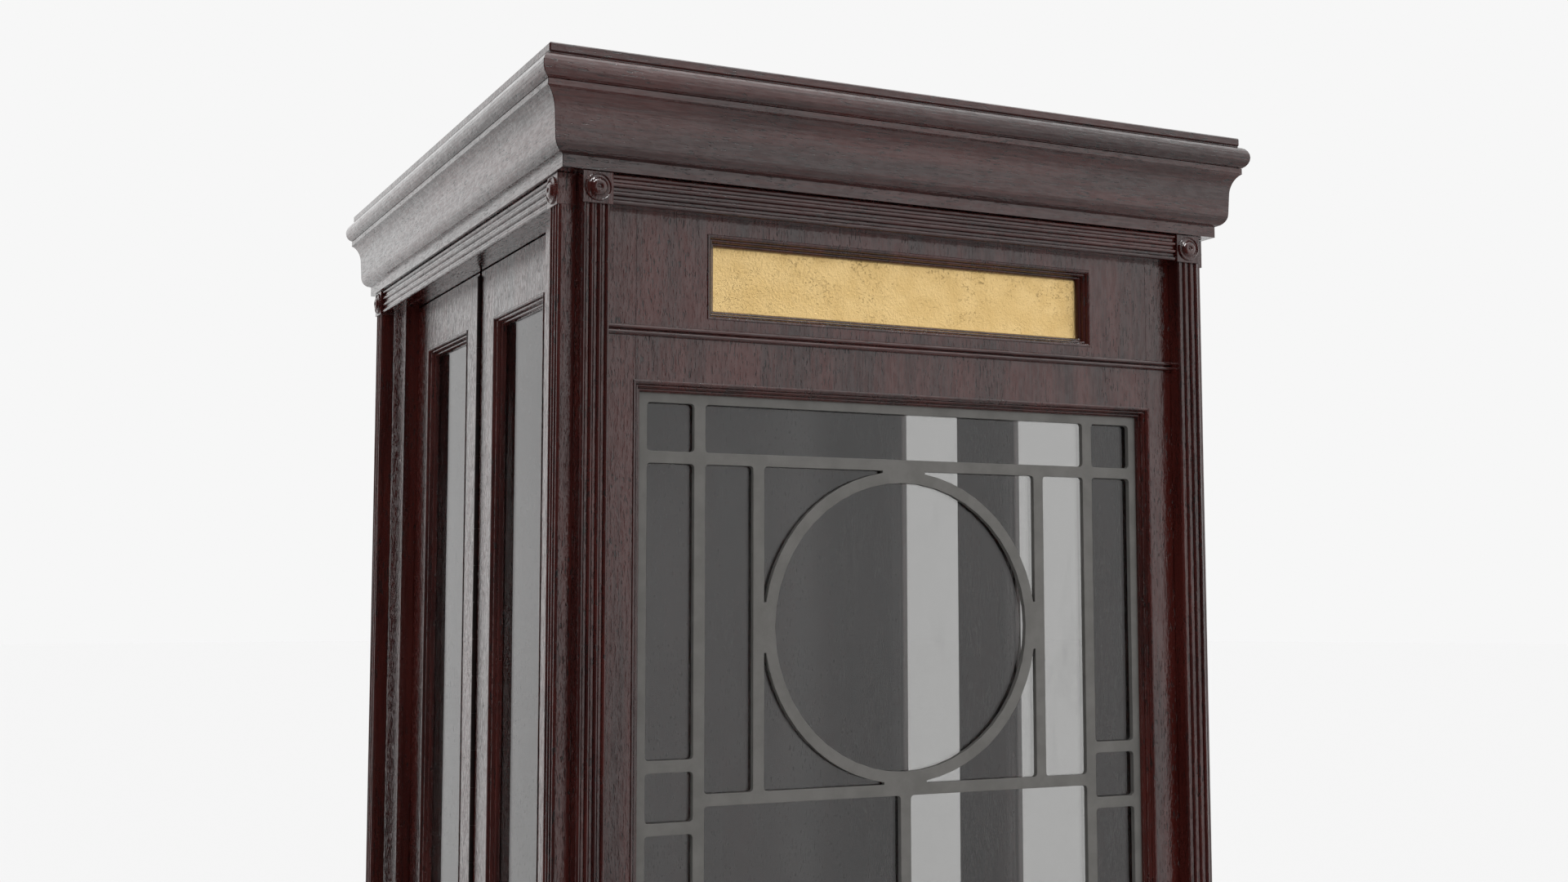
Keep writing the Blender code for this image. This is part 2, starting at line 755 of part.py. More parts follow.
def build_grille():
    """A bar grille cut from plate: a ring in a square of bars, with narrow cells down the sides."""
    half = GRILLE_HALF_WIDTH
    top = WINDOW_TOP - MOULDING_WIDTH + GRILLE_UNDER_MOULDING
    bottom = WINDOW_BOTTOM + MOULDING_WIDTH - GRILLE_UNDER_MOULDING
    cell_left = -half + BAR
    cell_right = cell_left + CELL_WIDTH
    inner_left = cell_right + BAR
    square = RING_SQUARE
    top_cell_bottom = top - BAR - CELL_HEIGHT
    square_top = top_cell_bottom - BAR
    ring_height = square_top - square
    square_bottom = ring_height - square
    lower_top = square_bottom - BAR
    small_top = square_bottom + CELL_HEIGHT * 0.47
    small_bottom = small_top - CELL_HEIGHT
    low_cell_top = bottom + BAR + CELL_HEIGHT
    holes = []
    for sx in (-1, 1):
        side_cells = [
            (top_cell_bottom, top - BAR),
            (small_top + BAR, square_top),
            (small_bottom, small_top),
            (low_cell_top + BAR, small_bottom - BAR),
            (bottom + BAR, low_cell_top),
        ]
        for low, high in side_cells:
            x0, x1 = sorted((sx * -cell_left, sx * -cell_right))
            holes.append(rounded_cell(x0, low, x1, high))
        x0, x1 = sorted((sx * -inner_left, sx * (square + BAR)))
        holes.append(rounded_cell(x0, square_bottom, x1, square_top))
        x0, x1 = sorted((sx * -inner_left, sx * BAR / 2))
        holes.append(rounded_cell(x0, low_cell_top + BAR, x1, lower_top))
        for sy in (-1, 1):
            holes.append(spandrel((0, ring_height), square, RING_OUTER_RADIUS, sx, sy))
    holes.append(rounded_cell(inner_left, top_cell_bottom, -inner_left, top - BAR))
    holes.append(rounded_cell(inner_left, bottom + BAR, -inner_left, low_cell_top))
    holes.append(arc((0, ring_height), (RING_INNER_RADIUS, RING_INNER_RADIUS), 0, 352.5, 47))
    outline = [(-half, bottom), (half, bottom), (half, top), (-half, top)]
    stand = Matrix.Rotation(math.pi / 2, 4, "X")
    back = MOULDING_DEPTH + GAP + GRILLE_THICKNESS
    place = face_place("front", y=back) @ stand
    extruded("window_grille", [outline] + holes, GRILLE_THICKNESS, IRON, place)


def build_apron():
    place = face_place("front")
    top = WINDOW_BOTTOM + MOULDING_LAP
    board = front_board("front_apron", BASE_HEIGHT + GAP, top)
    half = FRONT_HALF - APRON_MARGIN
    low = BASE_HEIGHT + APRON_RAIL
    high = WINDOW_BOTTOM - APRON_RAIL
    cut(board, pocket("apron_pocket", half, low, high, MOULDING_DEPTH + GAP, place))
    moulding("apron_moulding", half, low, high, place)


def build_header(side, name):
    """The board over a side's opening, behind the frieze and the cornice."""
    half = DOORWAY_HALF - GAP
    return box(
        name,
        (-half, 0, SOFFIT),
        (half, SIDE_WALL, CORNICE_TOP),
        MAHOGANY,
        face_place(side),
    )


def build_headers():
    build_header("right", "side_header_right")
    header = build_header("left", "door_header_left")
    slot = ROLLER_RADIUS + TRACK_CLEARANCE
    end = DOORWAY_HALF - TRACK_END_WALL
    track = box(
        "track_groove",
        (-PIVOT_X + PIVOT_RADIUS + TRACK_PIVOT_WALL, PIVOT_LINE - slot, SOFFIT - CUT_PAST),
        (end, PIVOT_LINE + slot, SOFFIT + TRACK_DEPTH),
        place=face_place("left"),
    )
    hole = cylinder(
        "upper_pivot_hole",
        PIVOT_RADIUS + PIVOT_CLEARANCE,
        SOFFIT - CUT_PAST,
        SOFFIT + PIVOT_REACH,
        place=face_place("left", -PIVOT_X, PIVOT_LINE),
    )
    cut(header, track, hole)


def inner_steps():
    """(inset, depth) of a leaf's opening behind the pane: quarter-round steps, as in front."""
    step = MOULDING_WIDTH / 3
    drop = (LEAF_THICKNESS - POCKET_DEPTH) / 3
    points = [(0, LEAF_THICKNESS + CUT_PAST)]
    for i in range(3):
        rise = 0.0 if i == 0 else MOULDING_QUIRK / 2
        start = i * step + (0.0 if i == 0 else MOULDING_QUIRK_WIDTH)
        base = LEAF_THICKNESS - (i + 1) * drop
        points += arc((start, base), ((i + 1) * step - start, drop + rise), 90, 0, 3)
    points.append((MOULDING_WIDTH, -CUT_PAST))
    return points


def build_glazed_leaf(side, name, sign, meeting_edge, outer_edge, bottom, top):
    """A framed leaf: a pane over a sunk panel. sign is the end of the side that it is at."""
    middle = sign * DOORWAY_HALF / 2
    place = face_place(side, middle, RECESS)
    edges = sorted((sign * meeting_edge - middle, sign * outer_edge - middle))
    frame = box(
        f"{name}_frame", (edges[0], 0, bottom), (edges[1], LEAF_THICKNESS, top), MAHOGANY, place
    )
    half = DOORWAY_HALF / 2 - STILE
    cut(frame, pocket(f"{name}_pocket", half, LOCK_RAIL_TOP, GLAZING_TOP, POCKET_DEPTH, place))
    sight = inner_steps()
    cut(frame, shaped_cutter(f"{name}_sight_hole", half, LOCK_RAIL_TOP, GLAZING_TOP, sight, place))
    low = bottom + BOTTOM_RAIL
    for face, surface, inward in (("outer", 0, 1), ("inner", LEAF_THICKNESS, -1)):
        edge = [(0, surface - inward * CUT_PAST)]
        edge += arc(
            (0, surface + inward * PANEL_SUNK), (PANEL_EDGE, -inward * PANEL_SUNK), 90, 0, 4
        )
        panel = shaped_cutter(f"{name}_{face}_panel", half, low, LOCK_RAIL_BOTTOM, edge, place)
        cut(frame, panel)
    moulding(f"{name}_moulding", half, LOCK_RAIL_TOP, GLAZING_TOP, place)
    pane(
        f"{name}_glass",
        half,
        LOCK_RAIL_TOP,
        GLAZING_TOP,
        MOULDING_DEPTH + GAP,
        GLASS_THICKNESS,
        GLASS,
        place,
    )
    return frame


def build_door_leaves():
    """Two leaves that fold inwards; the rear one turns on pivots, the front one runs in the track."""
    outer = DOORWAY_HALF - JAMB_GAP
    for name, sign in (("door_leaf_rear", -1), ("door_leaf_front", 1)):
        frame = build_glazed_leaf(
            "left", name, sign, MEETING_GAP, outer, LEAF_BOTTOM, LEAF_TOP
        )
        reach = BARREL_RADIUS + BARREL_CLEARANCE
        edges = sorted((0, sign * reach))
        relief = box(
            f"{name}_barrel_relief",
            (edges[0] - 0.001, FOLD_DEPTH - 0.02, LEAF_BOTTOM - CUT_PAST),
            (edges[1] + 0.001, FOLD_DEPTH + reach, LEAF_TOP + CUT_PAST),
            place=face_place("left"),
        )
        cut(frame, relief)


def build_side_sashes():
    """The fixed sashes of the right side repeat the door's layout."""
    outer = DOORWAY_HALF - GAP
    bottom, top = BASE_HEIGHT + GAP, SOFFIT - GAP
    for name, sign in (("side_sash_front", -1), ("side_sash_rear", 1)):
        build_glazed_leaf("right", name, sign, GAP, outer, bottom, top)


def knuckle_spans():
    """(bottom, top) of every knuckle of the fold hinge, from the bottom up."""
    bottom = LEAF_BOTTOM + HINGE_END_DROP
    length = LEAF_TOP - HINGE_END_DROP - bottom
    count = 2 * round(length / HINGE_PITCH / 2) + 1
    pitch = length / count
    return [(bottom + i * pitch, bottom + (i + 1) * pitch) for i in range(count)]


def knuckle_gaps(name, spans, place):
    """A row of blocks that clears the other plate's knuckles."""
    shape = bmesh.new()
    deep = BARREL_RADIUS + BARREL_CLEARANCE
    for low, high in spans:
        block = bmesh.ops.create_cube(shape, size=1.0)["verts"]
        size = (0.03, deep + CUT_PAST, high - low + GAP)
        bmesh.ops.scale(shape, vec=size, verts=block)
        bmesh.ops.translate(shape, vec=(0, (deep - CUT_PAST) / 2, (low + high) / 2), verts=block)
    mesh = bpy.data.meshes.new(name)
    shape.to_mesh(mesh)
    shape.free()
    return add_object(name, mesh, None, place)


def build_fold_hinge():
    """A full-length hinge: knuckles of the two plates take turns along one pin."""
    spans = knuckle_spans()
    bottom, top = spans[0][0], spans[-1][1]
    place = face_place("left", 0, FOLD_DEPTH)
    near = MEETING_GAP - GAP - HINGE_PLATE
    far = near + HINGE_PLATE
    start = math.degrees(math.acos(near / BARREL_RADIUS))
    end = 360 + math.degrees(math.acos(far / BARREL_RADIUS))
    section = [(far, HINGE_PLATE_WIDTH), (near, HINGE_PLATE_WIDTH)]
    section += arc((0, 0), (BARREL_RADIUS, BARREL_RADIUS), start, end, 14)
    bore = arc((0, 0), (BARREL_BORE, BARREL_BORE), 0, 315, 7)
    for name, sign, first in (("fold_hinge_rear", -1, 0), ("fold_hinge_front", 1, 1)):
        outlines = [[(sign * x, y) for x, y in outline] for outline in (section, bore)]
        standing = face_place("left", 0, FOLD_DEPTH, bottom)
        plate = extruded(name, outlines, top - bottom, BRONZE, standing)
        others = [span for i, span in enumerate(spans) if i % 2 != first]
        cut(plate, knuckle_gaps(f"{name}_gaps", others, place))
    cylinder(
        "fold_hinge_pin",
        HINGE_PIN_RADIUS,
        bottom - HINGE_PIN_PROUD,
        top + HINGE_PIN_PROUD,
        BRONZE,
        place,
        sides=10,
    )


def build_door_hardware():
    """Pivot pins on the rear leaf; guide pin, roller and pull on the front leaf."""
    pivot = face_place("left", -PIVOT_X, PIVOT_LINE)
    cylinder(
        "upper_pivot_pin", PIVOT_RADIUS, LEAF_TOP + GAP, SOFFIT + PIVOT_REACH - PIN_END_GAP, STEEL, pivot
    )
    cylinder(
        "lower_pivot_pin",
        PIVOT_RADIUS,
        BASE_HEIGHT - PIVOT_REACH + PIN_END_GAP,
        LEAF_BOTTOM - GAP,
        STEEL,
        pivot,
    )
    guide = face_place("left", PIVOT_X, PIVOT_LINE)
    roller_bottom = SOFFIT + ROLLER_ABOVE_SOFFIT
    roller_top = roller_bottom + ROLLER_HEIGHT
    pin_top = roller_top + GUIDE_PIN_ABOVE_ROLLER
    cylinder("guide_pin", GUIDE_PIN_RADIUS, LEAF_TOP + GAP, pin_top, STEEL, guide, sides=14)
    roller = cylinder("guide_roller", ROLLER_RADIUS, roller_bottom, roller_top, STEEL, guide, 24)
    bore_radius = GUIDE_PIN_RADIUS + ROLLER_BORE_CLEARANCE
    bore = cylinder("roller_bore", bore_radius, roller_bottom - CUT_PAST, pin_top, place=guide)
    cut(roller, bore)


def build_pull():
    """A bow handle with two round roses, on the front leaf's outer face."""
    bottom = PULL_HEIGHT - PULL_LENGTH / 2
    top = PULL_HEIGHT + PULL_LENGTH / 2
    bend = PULL_BEND
    face = RECESS - GAP
    out = face - PULL_STAND_OFF
    route = [(face, bottom)]
    route += arc((out + bend, bottom + bend), (-bend, -bend), 90, 0, 4)
    route += arc((out + bend, top - bend), (-bend, bend), 0, 90, 4)
    route += [(face, top)]
    curve = bpy.data.curves.new("door_pull", "CURVE")
    curve.dimensions = "3D"
    curve.bevel_depth = PULL_RADIUS
    curve.bevel_resolution = 2
    curve.use_fill_caps = True
    spline = curve.splines.new("POLY")
    spline.points.add(len(route) - 1)
    for point, (y, z) in zip(spline.points, route):
        point.co = (0, y, z, 1)
    place = face_place("left", DOORWAY_HALF - JAMB_GAP - STILE / 2)
    pull = add_object("door_pull", solid_from_curve("door_pull", curve), BRASS, place)
    lay = Matrix.Rotation(math.pi / 2, 4, "X")
    for i, z in enumerate((bottom, top)):
        at = place @ Matrix.Translation((0, face, z)) @ lay
        join(pull, cylinder(f"pull_rose_{i}", ROSE_RADIUS, 0, ROSE_THICKNESS, place=at))


def build_back():
    """Three upright boards between the rear posts."""
    half = FRONT_HALF - GAP
    spans = [
        ("left", MIDDLE_BOARD / 2 + GAP, half),
        ("middle", -MIDDLE_BOARD / 2, MIDDLE_BOARD / 2),
        ("right", -half, -MIDDLE_BOARD / 2 - GAP),
    ]
    for name, low, high in spans:
        box(
            f"back_board_{name}",
            (low, 0, BASE_HEIGHT + GAP),
            (high, WALL, CORNICE_TOP),
            MAHOGANY,
            face_place("back"),
            bevel=BOARD_CHAMFER,
        )


def hang_door():
    """Empties on the joint axes carry the moving pieces."""
    pivot = bpy.data.objects.new("door_pivot_axis", None)
    fold = bpy.data.objects.new("door_fold_axis", None)
    roller = bpy.data.objects.new("roller_axis", None)
    pivot.matrix_world = face_place("left", -PIVOT_X, PIVOT_LINE, LEAF_BOTTOM)
    fold.matrix_world = face_place("left", 0, FOLD_DEPTH, LEAF_BOTTOM)
    roller.matrix_world = face_place("left", PIVOT_X, PIVOT_LINE, LEAF_TOP)
    for empty in (pivot, fold, roller):
        PARTS.objects.link(empty)
    bpy.context.view_layer.update()
    carried = {
        pivot: [
            "door_leaf_rear_frame",
            "door_leaf_rear_moulding",
            "door_leaf_rear_glass",
            "fold_hinge_rear",
            "fold_hinge_pin",
            "upper_pivot_pin",
            "lower_pivot_pin",
            "door_fold_axis",
        ],
        fold: [
            "door_leaf_front_frame",
            "door_leaf_front_moulding",
            "door_leaf_front_glass",
            "fold_hinge_front",
            "guide_pin",
            "door_pull",
            "roller_axis",
        ],
        roller: ["guide_roller"],
    }
    for empty, names in carried.items():
        for name in names:
            piece = bpy.data.objects[name]
            place = piece.matrix_world.copy()
            piece.parent = empty
            piece.matrix_parent_inverse = empty.matrix_world.inverted()
            piece.matrix_world = place


def build_armoire():
    build_base()
    build_floor_and_ceiling()
    build_posts()
    build_pilasters()
    build_friezes()
    build_cornice()
    build_roof()
    build_sign()
    build_bead_rail()
    build_window_surround()
    build_grille()
    build_apron()
    build_headers()
    build_door_leaves()
    build_side_sashes()
    build_fold_hinge()
    build_door_hardware()
    build_pull()
    build_back()
    hang_door()


build_armoire()
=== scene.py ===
"""The looks of the booth-form armoire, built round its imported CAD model."""

import json
import math

import bpy
from mathutils import Euler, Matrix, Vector


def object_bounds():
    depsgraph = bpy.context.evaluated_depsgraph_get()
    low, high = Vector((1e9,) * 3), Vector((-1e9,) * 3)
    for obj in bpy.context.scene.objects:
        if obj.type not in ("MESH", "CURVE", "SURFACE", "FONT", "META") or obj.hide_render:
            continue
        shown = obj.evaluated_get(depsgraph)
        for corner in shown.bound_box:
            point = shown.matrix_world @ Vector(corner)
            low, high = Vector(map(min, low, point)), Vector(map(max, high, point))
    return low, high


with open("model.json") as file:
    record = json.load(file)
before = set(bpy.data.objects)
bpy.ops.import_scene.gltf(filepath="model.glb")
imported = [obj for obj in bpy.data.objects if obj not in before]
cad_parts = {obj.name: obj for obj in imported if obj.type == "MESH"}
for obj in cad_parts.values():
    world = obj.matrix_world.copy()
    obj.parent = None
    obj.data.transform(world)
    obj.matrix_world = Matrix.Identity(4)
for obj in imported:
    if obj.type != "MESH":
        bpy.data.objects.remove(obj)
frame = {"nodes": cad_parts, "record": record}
CAD_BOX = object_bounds()
NODES = frame["nodes"]

# Camera: eye level of a standing adult, left of the front and close to it.
EYE = (-1.0702, -2.3230, 1.5933)
TILT_UP = 4.97
TURN_RIGHT = 25.69
LENS = 40.51
SENSOR_WIDTH = 36.0
FAR_CLIP = 200.0

# Light: a pale room with a dark side to the left of the front, brighter overhead than below.
BACKGROUND = 0.93
FILL_LIGHT = 1.30
FLOOR_TONE = 0.715
FLOOR_RADIUS = 60.0
FLOOR_STEPS = 96
ROOM_LIGHT = 0.93
OVERHEAD_EXTRA = 0.55
OVERHEAD_FADE = (0.25, 0.90)
BELOW_SHARE = 0.55
BELOW_FADE = (-0.60, 0.12)
DARK_SIDE_SHARE = 0.05
DARK_SIDE_FADE = (0.34, 0.47)
DARK_SIDE_TURN = -53.0  # degrees from straight out of the front, negative to the left
LAMP_FROM = (-0.20, -0.53, 0.82)
LAMP_DISTANCE = 5.0
LAMP_SIZE = 2.0
LAMP_POWER = 130.0

# Colours, linear.
WOOD_DARK = (0.0185, 0.0028, 0.0023, 1)
WOOD_LIGHT = (0.0480, 0.0082, 0.0063, 1)
PORE_TONE = (0.003, 0.0012, 0.0012, 1)
BRASS_LIGHT = (0.92, 0.66, 0.305, 1)
BRASS_DARK = (0.84, 0.585, 0.25, 1)
IRON_TONE = (0.128, 0.123, 0.116, 1)
IRON_DARK = (0.108, 0.104, 0.097, 1)
# Hinge: dark bronze, its red cast a painted reflection of the mahogany beside it.
BRONZE_WITH_PAINTED_REFLECTION = (0.026, 0.010, 0.009, 1)
BRONZE_DARK_WITH_PAINTED_REFLECTION = (0.010, 0.005, 0.0045, 1)
STEEL_TONE = (0.42, 0.40, 0.37, 1)
STEEL_DARK = (0.30, 0.29, 0.27, 1)
GLASS_CLEAR = (0.65, 0.65, 0.645, 1)
GLASS_SMUDGED = (0.57, 0.57, 0.565, 1)

# Surfaces. A scale is a noise's cycles in a metre, a stretch is the share of it along the
# grain, and a relief, depth or rounding is in metres.
VARNISH_IOR = 1.50
COAT_ROUGHNESS = 0.05
FRONT_GLASS_IOR = 1.55
SIDE_GLASS_IOR = 1.38
EDGE_ROUNDING = 0.0003
GRILLE_ROUNDING = 0.0009
FIGURE_SCALE = 26.0
FIGURE_STRETCH = 0.07
FIBRE_SCALE = 380.0
FIBRE_STRETCH = 0.03
PORE_SCALE = 520.0
PORE_STRETCH = 0.16
PORE_DEPTH = 0.0003
CLUSTER_SCALE = 20.0
CLUSTER_STRETCH = 0.5
STREAK_SCALE = 330.0
STREAK_STRETCH = 0.12
STREAK_RELIEF = 0.0005
PEEL_SCALE = 130.0
PEEL_STRETCH = 0.45
PEEL_RELIEF = 0.0011
HAMMER_SCALE = 330.0
HAMMER_RELIEF = 0.0012
PATCH_SCALE = 24.0
PIT_SCALE = 380.0
PIT_DEPTH = 0.0006


class Tree:
    """A short way to write a material's nodes."""

    def __init__(self, name):
        self.material = bpy.data.materials.new(name)
        self.material.use_nodes = True
        self.tree = self.material.node_tree
        self.shader = self.tree.nodes["Principled BSDF"]
        self.count = 0

    def node(self, kind, **settings):
        made = self.tree.nodes.new(kind)
        self.count += 1
        made.location = (-260 * (self.count % 7) - 300, -220 * (self.count // 7))
        for key, value in settings.items():
            setattr(made, key, value)
        return made

    def link(self, start, end):
        self.tree.links.new(start, end)

    def place(self, scale, shift=(0, 0, 0)):
        """The piece's own coordinates, in metres, scaled."""
        coordinates = self.node("ShaderNodeTexCoord")
        mapping = self.node("ShaderNodeMapping")
        mapping.inputs["Scale"].default_value = scale
        mapping.inputs["Location"].default_value = shift
        self.link(coordinates.outputs["Object"], mapping.inputs["Vector"])
        return mapping.outputs["Vector"]

    def noise(self, vector, scale, detail=2.0, roughness=0.5, distortion=0.0):
        made = self.node("ShaderNodeTexNoise")
        made.inputs["Scale"].default_value = scale
        made.inputs["Detail"].default_value = detail
        made.inputs["Roughness"].default_value = roughness
        made.inputs["Distortion"].default_value = distortion
        self.link(vector, made.inputs["Vector"])
        return made.outputs["Fac"]

    def ramp(self, value, low, high, to_low=0.0, to_high=1.0):
        made = self.node("ShaderNodeMapRange")
        made.interpolation_type = "SMOOTHSTEP"
        for name, number in (
            ("From Min", low),
            ("From Max", high),
            ("To Min", to_low),
            ("To Max", to_high),
        ):
            made.inputs[name].default_value = number
        self.link(value, made.inputs["Value"])
        return made.outputs["Result"]

    def math(self, operation, first, second):
        made = self.node("ShaderNodeMath", operation=operation)
        for socket, value in zip(made.inputs, (first, second)):
            if isinstance(value, (int, float)):
                socket.default_value = value
            else:
                self.link(value, socket)
        return made.outputs["Value"]

    def mix(self, factor, first, second):
        made = self.node("ShaderNodeMix", data_type="RGBA")
        for index, value in ((0, factor), (6, first), (7, second)):
            socket = made.inputs[index]
            if isinstance(value, (int, float, tuple)):
                socket.default_value = value
            else:
                self.link(value, socket)
        return made.outputs[2]

    def bump(self, height, distance, strength=1.0, normal=None):
        made = self.node("ShaderNodeBump")
        made.inputs["Distance"].default_value = distance
        made.inputs["Strength"].default_value = strength
        self.link(height, made.inputs["Height"])
        if normal is not None:
            self.link(normal, made.inputs["Normal"])
        return made.outputs["Normal"]

    def bevel(self, radius):
        """A normal that rounds the sharp edges a little."""
        made = self.node("ShaderNodeBevel", samples=4)
        made.inputs["Radius"].default_value = radius
        return made.outputs["Normal"]

    def to(self, name, value):
        socket = self.shader.inputs[name]
        if isinstance(value, (int, float, tuple)):
            socket.default_value = value
        else:
            self.link(value, socket)


def stretched(tree, axis, along, shift):
    """Coordinates squeezed along the grain, so that every pattern runs with it."""
    scale = {"x": (along, 1.0, 1.0), "y": (1.0, along, 1.0), "z": (1.0, 1.0, along)}[axis]
    return tree.place(scale, shift=shift)


def wood(name, axis, seed=0.0):
    """Dark red mahogany under gloss varnish: ribbon figure, open pores and orange peel."""
    t = Tree(name)
    shift = (seed, seed * 1.7, seed * 2.3)
    figure = t.noise(stretched(t, axis, FIGURE_STRETCH, shift), FIGURE_SCALE, 4.0, 0.6, 0.3)
    fibre = t.noise(stretched(t, axis, FIBRE_STRETCH, shift), FIBRE_SCALE, 3.0, 0.6)
    tone = t.math("ADD", t.math("MULTIPLY", figure, 0.70), t.math("MULTIPLY", fibre, 0.30))
    colour = t.mix(t.ramp(tone, 0.38, 0.62), WOOD_DARK, WOOD_LIGHT)
    pore_lines = t.noise(stretched(t, axis, PORE_STRETCH, shift), PORE_SCALE, 1.0, 0.5, 0.2)
    crowding = t.noise(stretched(t, axis, CLUSTER_STRETCH, shift), CLUSTER_SCALE, 2.0)
    clusters = t.ramp(crowding, 0.36, 0.62, 0.25, 1.0)
    pores = t.math("MULTIPLY", t.ramp(pore_lines, 0.60, 0.68), clusters)
    t.to("Base Color", t.mix(t.math("MULTIPLY", pores, 0.8), colour, PORE_TONE))
    rough = t.ramp(t.noise(t.place((1, 1, 1), shift=shift), 9.0, 3.0), 0.3, 0.7, 0.12, 0.20)
    t.to("Roughness", t.math("ADD", rough, t.math("MULTIPLY", pores, 0.25)))
    t.to("IOR", VARNISH_IOR)
    t.to("Coat Roughness", COAT_ROUGHNESS)
    t.to("Coat IOR", VARNISH_IOR)
    streaks = t.noise(stretched(t, axis, STREAK_STRETCH, shift), STREAK_SCALE, 3.0, 0.65)
    raised = t.bump(streaks, STREAK_RELIEF, 0.60, t.bevel(EDGE_ROUNDING))
    peel = t.noise(stretched(t, axis, PEEL_STRETCH, shift), PEEL_SCALE, 3.0, 0.6, 0.4)
    soft = t.bump(peel, PEEL_RELIEF, 0.42, raised)
    film = t.math("ADD", t.math("MULTIPLY", streaks, 0.55), t.math("MULTIPLY", peel, 0.45))
    t.to("Coat Weight", t.ramp(film, 0.41, 0.58, 0.60, 1.0))
    sunk = t.bump(t.math("SUBTRACT", 1.0, pores), PORE_DEPTH, 0.6, soft)
    t.to("Normal", sunk)
    t.to("Coat Normal", sunk)
    return t.material


def brass_plate(name):
    """Light satin brass with fine pits."""
    t = Tree(name)
    at = t.place((1, 1, 1))
    cloud = t.noise(at, 30.0, 4.0, 0.6)
    t.to("Base Color", t.mix(t.ramp(cloud, 0.30, 0.70), BRASS_DARK, BRASS_LIGHT))
    t.to("Metallic", 1.0)
    t.to("Roughness", t.ramp(cloud, 0.3, 0.7, 0.40, 0.34))
    hammered = t.bump(t.noise(at, HAMMER_SCALE, 3.0, 0.65), HAMMER_RELIEF, 0.55)
    patches = t.ramp(t.noise(at, PATCH_SCALE, 2.0), 0.44, 0.62, 0.15, 1.0)
    pits = t.math("MULTIPLY", t.ramp(t.noise(at, PIT_SCALE, 2.0, 0.6), 0.60, 0.66), patches)
    t.to("Normal", t.bump(t.math("SUBTRACT", 1.0, pits), PIT_DEPTH, 0.9, hammered))
    return t.material


def plain_metal(name, light, dark, metallic, roughness, bump, rounding=EDGE_ROUNDING):
    """One metal with a faint cloud in its tone and roughness, and a fine grain."""
    t = Tree(name)
    at = t.place((1, 1, 1))
    cloud = t.noise(at, 40.0, 4.0, 0.6)
    t.to("Base Color", t.mix(t.ramp(cloud, 0.3, 0.7), dark, light))
    t.to("Metallic", metallic)
    t.to("Roughness", t.ramp(cloud, 0.3, 0.7, roughness + 0.05, roughness - 0.04))
    t.to("Normal", t.bump(t.noise(at, 600.0, 2.0, 0.6), bump, 0.4, t.bevel(rounding)))
    return t.material


def window_glass(name, ior):
    """Tinted float glass with faint smears, dust and a slight waviness."""
    t = Tree(name)
    smears = t.noise(t.place((1.0, 1.0, 0.35)), 14.0, 4.0, 0.65, 1.2)
    specks = t.noise(t.place((1, 1, 1)), 420.0, 1.0)
    dust = t.ramp(specks, 0.74, 0.80)
    smudge = t.math("MAXIMUM", t.ramp(smears, 0.56, 0.80), dust)
    t.to("Base Color", t.mix(smudge, GLASS_CLEAR, GLASS_SMUDGED))
    t.to("Transmission Weight", 1.0)
    t.to("IOR", ior)
    t.to("Roughness", t.math("MULTIPLY", smudge, 0.04))
    t.to("Normal", t.bump(t.noise(t.place((1, 1, 1)), 5.0, 1.0), 0.0008, 0.15))
    return t.material


def assign(node, material):
    """Gives the node this material, in place of any it had."""
    obj = NODES[node]
    obj.data.materials.clear()
    obj.data.materials.append(material)


def slot_of(node):
    for row in frame["record"]["subparts"]:
        if row["node"] == node:
            return row["material_slot"]
    raise KeyError(node)


def grain_axis(node):
    """The direction a piece's grain runs in."""
    if node.startswith(("cornice_", "frieze_")):
        return "x" if node.endswith(("front", "back")) else "y"
    if node in ("front_bead_rail", "base_frame", "roof_board"):
        return "x"
    if node in ("door_header_left", "side_header_right"):
        return "y"
    return "z"


def dress_nodes():
    finishes = {
        "brass": plain_metal("brass_fittings", BRASS_LIGHT, BRASS_DARK, 1.0, 0.30, 0.0003),
        # The hinge's dark bronze carries a painted reflection of the red wood in its tint.
        "hinge_metal": plain_metal("dark_bronze_with_painted_reflection", BRONZE_WITH_PAINTED_REFLECTION, BRONZE_DARK_WITH_PAINTED_REFLECTION, 0.6, 0.40, 0.0002),
        "grille_metal": plain_metal(
            "grille_metal", IRON_TONE, IRON_DARK, 0.3, 0.40, 0.0003, GRILLE_ROUNDING
        ),
        "steel": plain_metal("steel", STEEL_TONE, STEEL_DARK, 1.0, 0.35, 0.0002),
        "glass": window_glass("side_glass", SIDE_GLASS_IOR),
    }
    special = {
        "sign_plate": brass_plate("brass_plate"),
        "front_glass": window_glass("front_glass", FRONT_GLASS_IOR),
    }
    for index, node in enumerate(sorted(NODES)):
        slot = slot_of(node)
        if node in special:
            assign(node, special[node])
        elif slot == "mahogany":
            assign(node, wood(f"wood_{node}", grain_axis(node), 0.37 * index))
        else:
            assign(node, finishes[slot])


class World:
    """A short way to write the world's nodes."""

    def __init__(self, name):
        self.world = bpy.data.worlds.new(name)
        self.world.use_nodes = True
        self.tree = self.world.node_tree
        self.tree.nodes.clear()

    def node(self, kind, **settings):
        made = self.tree.nodes.new(kind)
        for key, value in settings.items():
            setattr(made, key, value)
        return made

    def put(self, value, socket):
        if isinstance(value, (int, float, tuple)):
            socket.default_value = value
        else:
            self.tree.links.new(value, socket)

    def math(self, operation, first, second):
        made = self.node("ShaderNodeMath", operation=operation)
        self.put(first, made.inputs[0])
        self.put(second, made.inputs[1])
        return made.outputs["Value"]

    def ramp(self, value, low, high, to_low, to_high):
        made = self.node("ShaderNodeMapRange", interpolation_type="SMOOTHSTEP")
        for name, number in (
            ("Value", value),
            ("From Min", low),
            ("From Max", high),
            ("To Min", to_low),
            ("To Max", to_high),
        ):
            self.put(number, made.inputs[name])
        return made.outputs["Result"]

    def choose(self, factor, first, second):
        """first where the factor is 0, second where it is 1."""
        kept = self.math("MULTIPLY", first, self.math("SUBTRACT", 1.0, factor))
        return self.math("ADD", kept, self.math("MULTIPLY", second, factor))


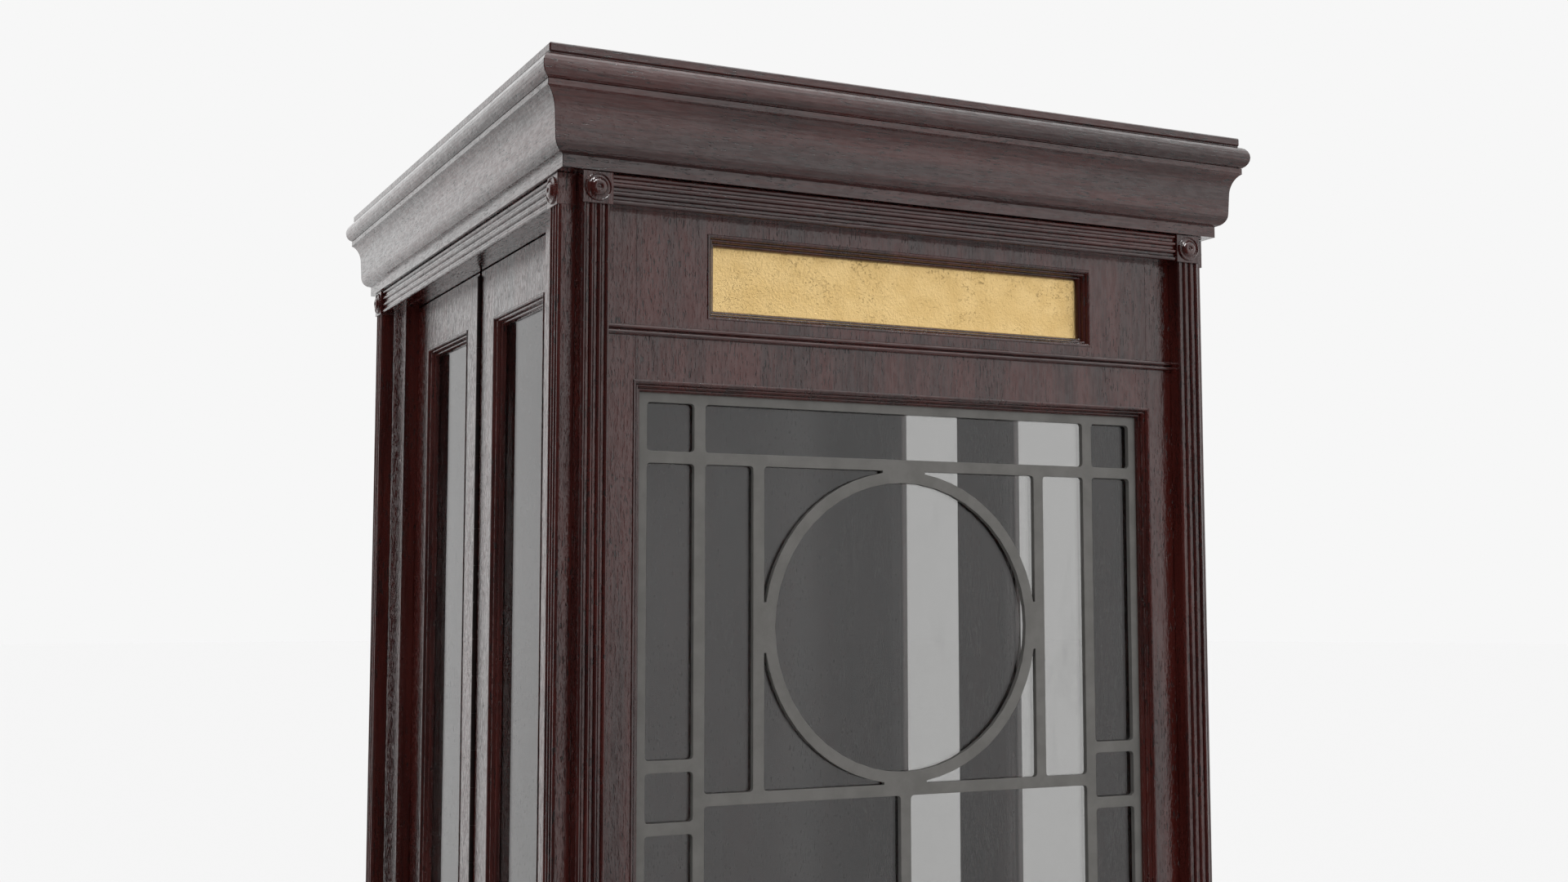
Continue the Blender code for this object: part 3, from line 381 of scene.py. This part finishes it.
def build_world():
    """Three levels: behind the object, for soft fill, and the room that shows in gloss."""
    w = World("studio")
    path = w.node("ShaderNodeLightPath").outputs
    direction = w.node("ShaderNodeTexCoord").outputs["Generated"]
    split = w.node("ShaderNodeSeparateXYZ")
    w.put(direction, split.inputs["Vector"])
    x, y, z = split.outputs
    level = w.ramp(z, *BELOW_FADE, BELOW_SHARE, 1.0)
    level = w.math("ADD", level, w.ramp(z, *OVERHEAD_FADE, 0.0, OVERHEAD_EXTRA))
    turn = math.radians(DARK_SIDE_TURN)
    across = w.math("MULTIPLY", x, math.sin(turn))
    ahead = w.math("MULTIPLY", y, -math.cos(turn))
    side = w.ramp(w.math("ADD", across, ahead), *DARK_SIDE_FADE, 1.0, DARK_SIDE_SHARE)
    room = w.math("MULTIPLY", w.math("MULTIPLY", level, side), ROOM_LIGHT)
    seen = w.math("MAXIMUM", path["Is Camera Ray"], path["Is Transmission Ray"])
    strength = w.choose(path["Is Diffuse Ray"], room, FILL_LIGHT)
    strength = w.choose(seen, strength, BACKGROUND)
    shine = w.node("ShaderNodeBackground")
    w.put((1.0, 1.0, 1.0, 1.0), shine.inputs["Color"])
    w.put(strength, shine.inputs["Strength"])
    out = w.node("ShaderNodeOutputWorld")
    w.put(shine.outputs["Background"], out.inputs["Surface"])
    bpy.context.scene.world = w.world


def build_lamp():
    """A soft lamp overhead, a little to the left, that shows in gloss only."""
    data = bpy.data.lights.new("overhead_lamp", "AREA")
    data.shape = "DISK"
    data.size = LAMP_SIZE
    data.energy = LAMP_POWER
    lamp = bpy.data.objects.new("overhead_lamp", data)
    lamp.visible_diffuse = False
    lamp.visible_transmission = False
    away = Vector(LAMP_FROM).normalized()
    lamp.location = away * LAMP_DISTANCE + Vector((0, 0, CAD_BOX[1][2] / 2))
    lamp.rotation_euler = away.to_track_quat("Z", "Y").to_euler()
    bpy.context.scene.collection.objects.link(lamp)


def build_floor():
    """A plain pale floor, kept out of the gloss."""
    mesh = bpy.data.meshes.new("studio_floor")
    angles = [2 * math.pi * i / FLOOR_STEPS for i in range(FLOOR_STEPS)]
    rim = [(FLOOR_RADIUS * math.cos(a), FLOOR_RADIUS * math.sin(a), 0) for a in angles]
    mesh.from_pydata(rim, [], [list(range(FLOOR_STEPS))])
    floor = bpy.data.objects.new("studio_floor", mesh)
    bpy.context.scene.collection.objects.link(floor)
    t = Tree("studio_floor")
    t.to("Base Color", (FLOOR_TONE, FLOOR_TONE, FLOOR_TONE, 1))
    t.to("Roughness", 0.9)
    t.to("Specular IOR Level", 0.0)
    mesh.materials.append(t.material)
    floor.visible_glossy = False


def build_camera():
    data = bpy.data.cameras.new("camera")
    data.lens = LENS
    data.sensor_width = SENSOR_WIDTH
    data.clip_end = FAR_CLIP
    camera = bpy.data.objects.new("camera", data)
    camera.location = EYE
    camera.rotation_euler = Euler((math.radians(90 + TILT_UP), 0, math.radians(-TURN_RIGHT)))
    bpy.context.scene.collection.objects.link(camera)
    bpy.context.scene.camera = camera


dress_nodes()
build_world()
build_lamp()
build_floor()
build_camera()
bpy.context.scene.view_settings.view_transform = "Standard"
